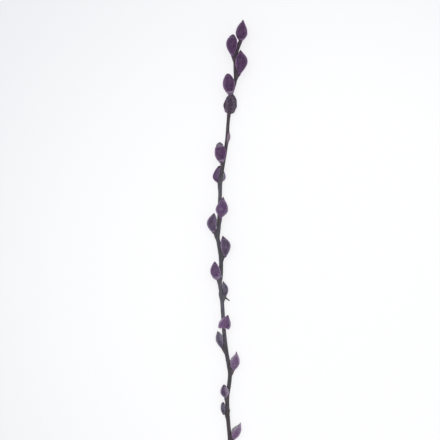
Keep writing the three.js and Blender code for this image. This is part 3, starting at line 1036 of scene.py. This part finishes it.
@dataclass
class Stem:
    """The bark stem with its leaf cushions, dormant buds, pores, scars, cut end and dry spur.

    Lengths are in mm. The cut is `slant` shorter underneath, which fades out over `slant_reach`, and
    the upper end is drawn in by the share `end_round` over `end_reach`. The bark keeps `clearance`
    above the surface. Its usual `radius` turns angles into lengths round it.
    """

    sides: int = 64
    cut_passes: int = 2
    cuts: int = 23
    sharp: float = 50.0
    rings: int = 5
    ring_inset: float = 0.16
    slant: float = 1.1
    slant_reach: float = 3.0
    end_round: float = 0.16
    end_reach: float = 0.6
    clearance: float = 0.02
    radius: float = 1.3
    pores: int = 190
    pore_ends: float = 2.0
    pore_long: tuple[float, float] = (0.3, 0.6)
    pore_wide: tuple[float, float] = (0.12, 0.24)
    scar_below: float = 1.5
    scar_sag: float = 0.75
    scar_thick: float = 0.34
    scar_spread: float = 46.0
    suture_at: float = 0.34
    suture_wide: float = 0.07
    warm_from: float = 60.0
    warm_to: float = 100.0

    # How many steps of each unevenness there are round the stem, and to a mm along it.
    RIDGE_STEPS = (32, 0.22)
    FOLD_STEPS = (8, 0.11)
    FINE_STEPS = (64, 0.9)
    # How far each kind of relief stands out of the bark, in mm.
    RIDGE = 0.045
    FOLD = 0.05
    FINE = 0.015
    PORE = 0.09
    SCAR = -0.08
    WRINKLE = 0.03
    SUTURE = -0.12

    def build(self) -> bpy.types.Object:
        """Models the stem.

        Returns:
            The stem, with its spur.
        """
        deselect()
        bpy.ops.mesh.primitive_cylinder_add(
            vertices=self.sides, radius=1, depth=2, end_fill_type="NGON")
        stem = bpy.context.object
        stem.name = stem.data.name = "bark_stem"
        for _ in range(self.cut_passes):
            self.cut_lengthwise(stem)
        self.ring_the_cut(stem)
        self.shape(stem)
        tidy_up(stem, self.sharp)
        join(stem, Spur().build())
        return stem

    def cut_lengthwise(self, stem: bpy.types.Object) -> None:
        """Cuts every edge that runs along the stem into equal lengths.

        Args:
            stem: The stem as a plain cylinder.
        """
        bpy.ops.object.mode_set(mode="EDIT")
        bpy.ops.mesh.select_mode(type="EDGE")
        bpy.ops.mesh.select_all(action="DESELECT")
        bpy.ops.object.mode_set(mode="OBJECT")
        ends = np.empty(len(stem.data.edges) * 2, np.int32)
        stem.data.edges.foreach_get("vertices", ends)
        height = read_points(stem)[:, 2][ends.reshape(-1, 2)]
        stem.data.edges.foreach_set("select", np.abs(height[:, 0] - height[:, 1]) > 1e-4)
        bpy.ops.object.mode_set(mode="EDIT")
        bpy.ops.mesh.subdivide(number_cuts=self.cuts)
        bpy.ops.object.mode_set(mode="OBJECT")

    def ring_the_cut(self, stem: bpy.types.Object) -> None:
        """Insets both ends into rings round a middle point.

        Args:
            stem: The stem as a plain cylinder.
        """
        for bottom in (True, False):
            bpy.ops.object.mode_set(mode="EDIT")
            bpy.ops.mesh.select_mode(type="FACE")
            bpy.ops.mesh.select_all(action="DESELECT")
            bpy.ops.object.mode_set(mode="OBJECT")
            for face in stem.data.polygons:
                face.select = len(face.vertices) == self.sides and (face.center.z < 0) == bottom
            bpy.ops.object.mode_set(mode="EDIT")
            for _ in range(self.rings):
                bpy.ops.mesh.inset(thickness=self.ring_inset)
            bpy.ops.mesh.poke()
            bpy.ops.object.mode_set(mode="OBJECT")

    def shape(self, stem: bpy.types.Object) -> None:
        """Turns the ruled cylinder into the stem, and writes its marks.

        Args:
            stem: The stem as a ruled cylinder.
        """
        raw = read_points(stem)
        y = (raw[:, 2] + 1) / 2 * STEM_END
        angle = np.arctan2(raw[:, 1], raw[:, 0])
        out = np.hypot(raw[:, 0], raw[:, 1])
        relief, marks = self.surface(y, angle)
        round_off = 1 - self.end_round * smooth((y - STEM_END + self.end_reach) / self.end_reach)
        radius = (stem_radius(y, angle) + relief) * round_off * out
        points = stem_centre(y)
        points[:, 0] += np.cos(angle) * radius
        points[:, 2] = np.maximum(points[:, 2] + np.sin(angle) * radius, self.clearance)
        lean = 1 - smooth(y / self.slant_reach)
        points[:, 1] += self.slant / 2 * (1 - np.sin(angle) * out) * lean
        write_points(stem, points)
        write_marks(stem, out=out, **marks)
        self.slot_the_cut(stem)

    def slot_the_cut(self, stem: bpy.types.Object) -> None:
        """Gives the faces of the cut end their own material slot.

        Args:
            stem: The shaped stem.
        """
        faces = stem.data.polygons
        at_cut = read_vectors(faces, "center")[:, 1] < (self.slant + 0.3 - TWIG_LENGTH / 2) * METRES
        facing = np.abs(read_vectors(faces, "normal")[:, 1]) > 0.7
        faces.foreach_set("material_index", (at_cut & facing).astype(np.int32))

    def surface(self, y: Array, angle: Array) -> tuple[Array, dict[str, Array]]:
        """The bark's relief and what its material has to know.

        Args:
            y: Heights along the twig.
            angle: Sides of the stem, in radians.

        Returns:
            The relief in mm, and the marks by name.
        """
        ridges, folds, fine = (
            grain_round(seed, steps, angle, y * dense) for seed, (steps, dense) in (
                (Seed.RIDGES, self.RIDGE_STEPS), (Seed.FOLDS, self.FOLD_STEPS),
                (Seed.FINE, self.FINE_STEPS)))
        cushion = sum(lump.share(y, angle) for lump in CUSHIONS)
        bud = sum(lump.share(y, angle) for lump in DORMANT_SKIN)
        pore = self.pore_mark(y, angle)
        scar = self.scar_mark(y, angle)
        wrinkle = np.cos(y * 7.5 + folds * 2) * cushion
        relief = (ridges * self.RIDGE + folds * self.FOLD + fine * self.FINE + pore * self.PORE
                  + scar * self.SCAR + wrinkle * self.WRINKLE)
        relief += self.suture(y, angle)
        warm = sum(lump.share(y, angle) for lump in CUSHIONS if self.warm_from < lump.at < self.warm_to)
        return relief, {"along": y / STEM_END, "pore": pore, "scar": scar, "bud": bud, "warm": warm,
                        "cool": COOL_BARK.at(y), "plum": PLUM_BARK.at(y), "wrap": WRAP.share(y, angle)}

    def pore_mark(self, y: Array, angle: Array) -> Array:
        """Small raised pores, scattered over the bark.

        Args:
            y: Heights along the twig.
            angle: Sides of the stem, in radians.

        Returns:
            The mark at each place, from 0 to 1.
        """
        draw = np.random.default_rng(int(Seed.PORES))
        mark = np.zeros_like(y)
        for _ in range(self.pores):
            at = draw.uniform(self.pore_ends, STEM_END - self.pore_ends)
            side = draw.uniform(-np.pi, np.pi)
            long, wide = draw.uniform(*self.pore_long), draw.uniform(*self.pore_wide)
            near = np.abs(y - at) < 3 * long
            off = wrapped(angle[near] - side) * self.radius
            spot = np.exp(-((y[near] - at) / long) ** 2 - (off / wide) ** 2)
            mark[near] = np.maximum(mark[near], spot)
        return mark

    def scar_mark(self, y: Array, angle: Array) -> Array:
        """The crescent that a fallen leaf left on each cushion.

        Args:
            y: Heights along the twig.
            angle: Sides of the stem, in radians.

        Returns:
            The mark at each place, from 0 to 1.
        """
        mark = np.zeros_like(y)
        for lump in (*CUSHIONS, *OLD_SCARS, *DORMANT):
            off = wrapped(angle - np.radians(lump.turn)) / np.radians(self.scar_spread)
            sag = lump.at - self.scar_below + self.scar_sag * off * off
            crescent = bell(y - sag, self.scar_thick) * smooth((1.1 - np.abs(off)) / 0.35)
            mark = np.maximum(mark, crescent)
        return mark

    def suture(self, y: Array, angle: Array) -> Array:
        """The fine line that edges each dormant bud.

        Args:
            y: Heights along the twig.
            angle: Sides of the stem, in radians.

        Returns:
            Its relief at each place, in mm.
        """
        line = np.zeros_like(y)
        for lump in DORMANT:
            share = lump.share(y, angle)
            edge = bell(share - self.suture_at, self.suture_wide)
            line += self.SUTURE * edge * (y > lump.at - 0.6)
        return line

    def dress(self, stem: bpy.types.Object) -> None:
        """Gives the stem its bark and its cut wood.

        Args:
            stem: The modelled stem.
        """
        stem.data.materials.clear()
        stem.data.materials.append(BarkFinish().make())
        stem.data.materials.append(WoodFinish().make())
        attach(stem, "root")
        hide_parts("stem")


@dataclass
class Hood:
    """The scale of one bud: a curved skin that is open in a slit towards the stem.

    It is `skin` mm thick and `margin` mm at its free edges, where it thins over the share `thinning`
    of the sheet. It lies `under` mm below the bud's form, keeps at least the share `least` of the
    bud's own width, and its slit is frayed by `fray` degrees.
    """

    bud: Bud
    columns: int = 56
    rows: int = 64
    sharp: float = 70.0
    skin: float = 0.4
    margin: float = 0.14
    thinning: float = 0.12
    under: float = 0.1
    least: float = 0.3
    fray: float = 3.0

    # How far each kind of relief stands out of the skin, in mm.
    KEEL = 0.09
    GROOVE = -0.08
    RING = 0.12
    STRIPE = 0.02
    # Where the side keels run, in radians from the middle one.
    SIDE_KEELS = (-1.9, 1.9)
    # A torn foot's waves over half the sheet and where they start, in radians, and how jagged that
    # foot and the top of a short scale are.
    TEAR_WAVES = 4.6
    TEAR_START = 0.8
    TEAR_JAGS = 0.3
    TOP_JAGS = 0.03
    # Where a silky tip begins, and the stretch over which it pales.
    SILKY_FROM = 0.62
    SILKY_OVER = 0.25
    # How far each bud's pattern is shifted from the one before.
    SHIFT = 0.37

    def build(self) -> bpy.types.Object:
        """Models the scale.

        Returns:
            The scale.
        """
        deselect()
        bpy.ops.mesh.primitive_grid_add(x_subdivisions=self.columns, y_subdivisions=self.rows, size=2)
        hood = bpy.context.object
        hood.name = hood.data.name = f"hood_{self.bud.name}"
        bpy.ops.object.mode_set(mode="EDIT")
        bpy.ops.mesh.select_all(action="SELECT")
        bpy.ops.mesh.extrude_region_move(TRANSFORM_OT_translate={"value": (0, 0, -1)})
        bpy.ops.object.mode_set(mode="OBJECT")
        self.shape(hood)
        tidy_up(hood, self.sharp)
        return hood

    def grain(self, seed: Seed, x: Array, y: Array, across: int = 32) -> Array:
        """The bud's own unevenness at steps across and along its scale."""
        return Grain(seed + self.bud.no, across).at(x, y)

    def reach(self, across: Array, share: Array) -> Array:
        """Where the sheet's corners lie between the bud's foot and its tip.

        Args:
            across: Places from one edge of the slit (-1) to the other (1).
            share: Places from the sheet's lower edge (0) to its upper one (1).

        Returns:
            The places, from the foot (0) to the tip (1).
        """
        bud = self.bud
        jag = self.grain(Seed.JAGS, across * 9, np.full_like(share, 0.5))
        tear = 0.5 + 0.5 * np.cos(self.TEAR_WAVES * across + self.TEAR_START) + self.TEAR_JAGS * jag
        start = bud.torn * tear
        start = start + bud.tilt * np.sin(np.pi * across) - (0.0 if bud.torn else bud.sunk)
        end = bud.cover + (self.TOP_JAGS * jag if bud.cover < 1 else 0.0)
        return start + (end - start) * share

    def shape(self, hood: bpy.types.Object) -> None:
        """Wraps the flat slab round the bud, and writes its marks.

        Args:
            hood: The scale as a flat slab.
        """
        bud = self.bud
        raw = read_points(hood)
        across, share, inner = raw[:, 0], (raw[:, 1] + 1) / 2, -raw[:, 2]
        t = self.reach(across, share)
        fray = self.grain(Seed.FRAY, share * 14, np.sign(across) * 2 + 4.5)
        edge = np.pi - bud.slit_half(t) + np.radians(self.fray + bud.wave * 0.6) * fray
        angle = across * edge
        lift, stripes = self.relief(t, angle)
        loose = np.minimum(1 - share if bud.cover < 1 else 1, share if bud.torn else 1)
        room = np.minimum(1 - np.abs(across), loose) / self.thinning
        thick = self.margin + (self.skin - self.margin) * smooth(room)
        layer = inner * thick + self.under - lift - stripes * (1 - inner)
        write_points(hood, bud.place(t, angle + np.radians(bud.twist), layer, self.least))
        # The rim mark pales the scale's edges: partly its own paler margin, partly painted backlight.
        rim = np.maximum(smooth((np.abs(across) - 0.4) / 0.6), 0.7 * smooth(1 - room))
        collar = bud.collar * smooth(1 - np.abs(t - 0.03) / (0.05 + 0.07 * bud.collar))
        slaty = self.slaty(t, angle)
        silky = bud.silky_tip * smooth((t - self.SILKY_FROM) / self.SILKY_OVER)
        # Sideways-facing corners get painted backlight: they are paled as if light came through the
        # skin.
        write_marks(hood, rim=rim, along=t, collar=collar, beak=np.full_like(t, bud.beak),
                    silky=silky, slaty=slaty, flank=self.flank(hood) * (1 - slaty))
        write_uv(hood, (across + 1) / 2 + bud.no * self.SHIFT, t)

    def flank(self, hood: bpy.types.Object) -> Array:
        """Painted backlight: how much each corner faces sideways, where the skin's colour is paled as
        if light came through it, from 0 to 1.
        """
        return smooth((0.9 - np.abs(read_vectors(hood.data.vertices, "normal")[:, 2])) / 0.7)

    def slaty(self, t: Array, angle: Array) -> Array:
        """How slaty the scale is on one side, from 0 to 1.

        Args:
            t: Places from foot to tip.
            angle: Angles round the bud from the middle of the scale, in radians.

        Returns:
            The share at each place.
        """
        low, high, most = self.bud.slaty
        if not most:
            return np.zeros_like(t)
        uneven = 0.35 * self.grain(Seed.SLATE, angle * 2 + 8, t * 5)
        return most * smooth((angle + uneven - low) / (high - low))

    def relief(self, t: Array, angle: Array) -> tuple[Array, Array]:
        """How the scale's skin departs from a plain egg.

        Args:
            t: Places from foot to tip.
            angle: Angles round the bud, in radians.

        Returns:
            The folds of the whole sheet and the fine stripes of its outer face, in mm.
        """
        bud = self.bud
        body = np.sin(np.pi * np.clip(t, 0, 1)) ** 0.5
        folds = (self.grain(Seed.CRUMPLES, angle * 1.5 + 8, t * 3.2)
                 + 0.5 * self.grain(Seed.CREASES, angle * 4 + 16, t * 7))
        keels = sum(bell(angle - keel, 0.16) for keel in self.SIDE_KEELS) + 0.7 * bell(angle, 0.2)
        groove = bell(t - 0.85, 0.03)
        ring = bud.collar * (bell(t - 0.08, 0.05) - 0.6 * bell(t - 0.16, 0.04))
        stripes = self.STRIPE * self.grain(Seed.STRIPES, angle * 18 + 60, t * 3, across=256)
        lift = (bud.crumple * folds * body + self.KEEL * keels * body + self.GROOVE * groove
                + self.RING * ring)
        return lift * np.clip(bud.fatness(t, bud.point) * 1.6, 0.1, 1), stripes * body

    def dress(self, hood: bpy.types.Object, finishes: dict[Tone, bpy.types.Material]) -> None:
        """Gives the scale its skin.

        Args:
            hood: The modelled scale.
            finishes: The skin of each colouring.
        """
        hood.data.materials.clear()
        hood.data.materials.append(finishes[self.bud.tone])
        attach(hood, "root")
        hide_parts(f"bud_scale_{self.bud.name}")


@dataclass
class Catkin:
    """The silky catkin inside one scale, with bracts and hairs that lie along it.

    It lies `deep` mm under the bud's form, or `bare` mm where no scale covers it, and keeps at least
    the share `least` of the bud's width. From the bud's foot (0) to its tip (1), it starts at `first`
    and fills the share `fill` of the upper part, or ends at `open_tip` where its scale stops short.
    The share `to_slit` of its hairs stands at the slit. A hair's length is a share of the bud's.
    """

    bud: Bud
    segments: int = 40
    rings: int = 30
    deep: float = 0.62
    bare: float = 0.22
    least: float = 0.2
    first: float = 0.06
    fill: float = 0.74
    open_tip: float = 0.97
    squareness: int = 5
    bract_rows: int = 13
    bract_turns: float = 4.5
    bract_high: float = 0.1
    to_slit: float = 0.62
    hair_long: tuple[float, float] = (0.09, 0.22)
    hair_lean: float = 0.14
    hair_thick: float = 0.03
    thicker: tuple[float, float] = (0.7, 1.2)

    # Where a hair's root, middle and tip lie along it, and how far out, in mm.
    STATIONS = ((0.0, -0.06), (0.5, 0.2), (1.0, 0.34))
    # How thick its root and middle are, each with three corners, and how pale all seven corners are.
    SIZES = (1.0, 0.75)
    PALE = (0.1, 0.1, 0.1, 0.6, 0.6, 0.6, 1.0)

    @cached_property
    def last(self) -> float:
        """Where the catkin ends, as a share of the bud."""
        widest = self.bud.widest
        return self.open_tip if self.bud.cover < 1 else widest + (1 - widest) * self.fill

    def depth(self, t: Array, angle: Array) -> Array:
        """How deep the catkin lies under the outer skin: less where no scale covers it.

        Args:
            t: Places from foot to tip.
            angle: Angles round the bud, in radians.

        Returns:
            The depth at each place, in mm.
        """
        bud = self.bud
        edge = np.pi - bud.slit_half(t)
        off = np.abs(wrapped(angle - np.radians(bud.twist)))
        open_side = smooth((off - edge + 0.12) / np.maximum(np.pi - edge, 0.05)) * smooth(2 * t)
        emerged = smooth((t - bud.cover - 0.01) / 0.1) if bud.cover < 1 else 0.0
        bare = np.maximum(open_side, emerged)
        return self.deep + (self.bare - self.deep) * bare

    def build(self) -> bpy.types.Object:
        """Models the catkin.

        Returns:
            The catkin, with its hairs.
        """
        deselect()
        bpy.ops.mesh.primitive_uv_sphere_add(segments=self.segments, ring_count=self.rings, radius=1)
        core = bpy.context.object
        core.name = core.data.name = f"silk_{self.bud.name}"
        raw = read_points(core)
        share = 1 - np.arccos(np.clip(raw[:, 2], -1, 1)) / np.pi
        angle = np.arctan2(raw[:, 1], raw[:, 0])
        t = self.first + (self.last - self.first) * share
        close = (1 - np.abs(2 * share - 1) ** self.squareness) ** 0.5
        row = share * self.bract_rows
        bract = np.cos(angle * self.bract_turns + np.floor(row) * np.pi) ** 2
        bract = bract * (1 - (row - np.floor(row))) * close
        depth = self.depth(t, angle) - self.bract_high * bract
        points = self.bud.place(t, angle, depth, self.least)
        spine = self.middle(t)
        points = spine + (points - spine) * close[:, None]
        write_points(core, points)
        write_marks(core, hair=np.zeros(len(t)), bract=bract, blush=self.blush(t))
        tidy_up(core)
        join(core, self.hairs())
        return core

    def blush(self, t: Array) -> Array:
        """How purple the silk is at places from foot to tip: only where it stands out of its scale."""
        return smooth((t - self.bud.cover + 0.08) / 0.06) if self.bud.cover < 1 else np.zeros_like(t)

    def middle(self, t: Array) -> Array:
        """The middle of the catkin.

        Args:
            t: Places from foot to tip.

        Returns:
            A point for each place.
        """
        deep = np.full_like(t, self.deep)
        sides = [self.bud.place(t, np.full_like(t, k * np.pi / 2), deep, self.least) for k in range(4)]
        return sum(sides) / len(sides)

    def hairs(self) -> bpy.types.Object:
        """Lays the hairs, each a slim three-sided spike that bends with the catkin.

        Returns:
            All the hairs, as one object that is still to be joined.
        """
        bud, count = self.bud, self.bud.hairs
        draw = np.random.default_rng(Seed.HAIRS + bud.no)
        t = self.first + 0.03 + (self.last - self.first - 0.05) * draw.random(count) ** 0.8
        edge = np.pi - bud.slit_half(t)
        to_slit = draw.random(count) < self.to_slit
        slit = np.pi + np.radians(bud.twist)
        angle = np.where(to_slit, slit + (draw.random(count) - 0.5) * 2 * (np.pi - edge + 0.5),
                         draw.uniform(-np.pi, np.pi, count))
        long = draw.uniform(*self.hair_long, count)
        lean = draw.normal(0, self.hair_lean, count)
        rise = draw.uniform(0.0, 1.0, count)
        depth = self.depth(t, angle)
        free = np.clip((self.deep - depth) / (self.deep - self.bare), 0, 1)
        stations = []
        for step, out in self.STATIONS:
            at = np.minimum(t + long * step, 1.03)
            turned = angle + lean * step
            high = self.depth(at, turned) - (out * (0.25 + rise * free) + 0.02)
            stations.append(bud.place(at, turned, high, self.least))
        return self.spikes(stations, self.blush(t), draw)

    def spikes(self, stations: list[Array], blush: Array,
               draw: np.random.Generator) -> bpy.types.Object:
        """Makes a closed spike through each row of stations.

        Args:
            stations: The root, middle and tip of every hair.
            blush: How purple each hair is.
            draw: The random draw, for their thickness.

        Returns:
            The spikes as one object.
        """
        root, middle, tip = stations
        count = len(root)
        way = tip - root
        way /= np.maximum(np.linalg.norm(way, axis=1), 1e-6)[:, None]
        first = np.cross(way, (0.3, 0.1, 0.95))
        first /= np.linalg.norm(first, axis=1)[:, None]
        second = np.cross(way, first)
        thick = self.hair_thick * draw.uniform(*self.thicker, count)
        corners = []
        for centre, size in zip((root, middle), self.SIZES):
            for turn in 2 * np.pi * np.arange(3) / 3:
                side = first * np.cos(turn) + second * np.sin(turn)
                corners.append(centre + side * (thick * size)[:, None])
        corners.append(tip)
        points = np.stack(corners, axis=1).reshape(-1, 3)
        pattern = [(2, 1, 0)]
        for k in range(3):
            n = (k + 1) % 3
            pattern += [(k, n, 3 + n), (k, 3 + n, 3 + k), (3 + k, 3 + n, 6)]
        starts = len(corners) * np.arange(count)[:, None, None]
        faces = (np.array(pattern)[None] + starts).reshape(-1, 3)
        mesh = bpy.data.meshes.new("hairs")
        mesh.from_pydata(points.tolist(), [], faces.tolist())
        hairs = bpy.data.objects.new("hairs", mesh)
        bpy.context.scene.collection.objects.link(hairs)
        write_points(hairs, points)
        write_marks(hairs, hair=np.tile(self.PALE, count), bract=np.zeros(len(points)),
                    blush=np.repeat(blush, len(corners)))
        mesh.polygons.foreach_set("use_smooth", np.ones(len(mesh.polygons), bool))
        return hairs

    def dress(self, silk: bpy.types.Object, finish: bpy.types.Material) -> None:
        """Gives the catkin its silk.

        Args:
            silk: The modelled catkin.
            finish: The silk.
        """
        silk.data.materials.clear()
        silk.data.materials.append(finish)
        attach(silk, "root")
        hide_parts(f"catkin_{self.bud.name}")


@dataclass
class Studio:
    """The pale floor, the soft light and the camera that looks straight down on the twig.

    Lengths are in metres. The floor pales from `floor_far` to `floor_near` towards `brightest`, over
    the distances `falloff` from there, a pool of light painted into its colour, and it glows a little,
    as if it were lit from below.
    """

    camera_at: tuple[float, float, float] = (-0.00441, 0.019, 0.6283)
    lens: float = 85.0
    floor_size: float = 6.0
    floor_below: float = 0.00003
    brightest: tuple[float, float, float] = (0.07, -0.03, 0.0)
    falloff: tuple[float, float] = (0.1, 0.36)
    floor_near: Rgb = (252, 252, 253)
    floor_far: Rgb = (229, 230, 233)
    floor_glow: float = 0.715
    floor_grey: float = 0.36
    sky: float = 0.66
    sky_tint: Rgb = (0.97, 0.98, 1.0)
    key_at: tuple[float, float, float] = (-0.08, 0.25, 1.0)
    key_power: float = 3.0
    key_size: float = 0.9

    def build(self) -> None:
        """Sets everything up."""
        self.floor()
        self.lights()
        self.camera()

    def floor(self) -> None:
        """Lays the floor, with a painted pool of light that falls off a little towards one corner."""
        deselect()
        bpy.ops.mesh.primitive_plane_add(size=self.floor_size, location=(0, 0, -self.floor_below))
        floor = bpy.context.object
        floor.name = "floor"
        recipe = Recipe("pale_floor")
        at = recipe.node("ShaderNodeTexCoord").outputs["Object"]
        away = recipe.node("ShaderNodeVectorMath", {"operation": "DISTANCE"})
        recipe.feed(away.inputs[0], at)
        away.inputs[1].default_value = self.brightest
        # Painted light: the floor's colour is brightest at one point and falls off from it.
        far = recipe.spread(away.outputs["Value"], *self.falloff)
        colour = recipe.paint(linear(*self.floor_near), (self.floor_far, far))
        grey = (self.floor_grey, self.floor_grey, self.floor_grey, 1.0)
        matt = recipe.mix(1.0, colour, grey, "MULTIPLY")
        shader = recipe.node(
            "ShaderNodeBsdfPrincipled", Base_Color=matt, Roughness=0.9, Specular_IOR_Level=0.0,
            Emission_Color=colour, Emission_Strength=self.floor_glow)
        recipe.node("ShaderNodeOutputMaterial", Surface=shader.outputs["BSDF"])
        floor.data.materials.append(recipe.material)

    def lights(self) -> None:
        """Hangs one large soft lamp in a pale room."""
        world = bpy.data.worlds.new("pale_room")
        bpy.context.scene.world = world
        world.use_nodes = True
        room = world.node_tree.nodes["Background"]
        room.inputs["Color"].default_value = (*self.sky_tint, 1.0)
        room.inputs["Strength"].default_value = self.sky
        deselect()
        bpy.ops.object.light_add(type="AREA", location=self.key_at)
        lamp = bpy.context.object
        lamp.name = "soft_lamp"
        lamp.data.shape = "SQUARE"
        lamp.data.size = self.key_size
        lamp.data.energy = self.key_power
        away = lamp.location.normalized()
        lamp.rotation_euler = away.to_track_quat("Z", "Y").to_euler()

    def camera(self) -> None:
        """Stands the camera over the twig, at the photograph's framing."""
        deselect()
        bpy.ops.object.camera_add(location=self.camera_at, rotation=(0, 0, 0))
        camera = bpy.context.object
        camera.name = "camera"
        camera.data.lens = self.lens
        camera.data.sensor_width = 36.0
        camera.data.clip_start = 0.01
        camera.data.clip_end = 20.0
        bpy.context.scene.camera = camera
        bpy.context.scene.view_settings.view_transform = "Standard"


def corners(bounds: tuple) -> list[list[float]]:
    """The lowest and highest corner of a box as plain numbers."""
    return [[float(value) for value in corner] for corner in bounds]


def main() -> None:
    """Builds the twig piece by piece and sets up the studio."""
    logging.basicConfig(level=logging.INFO, format="%(message)s")
    stem = Stem()
    bark = stem.build()
    stem.dress(bark)
    report(bark)
    skins = {tone: finish.make() for tone, finish in SCALE_FINISHES.items()}
    silk_finish = SilkFinish().make()
    for bud in BUDS:
        hood, catkin = Hood(bud), Catkin(bud)
        scale, silk = hood.build(), catkin.build()
        hood.dress(scale, skins)
        catkin.dress(silk, silk_finish)
        report(scale)
        report(silk)
    Studio().build()


if __name__ == "__main__":
    main()
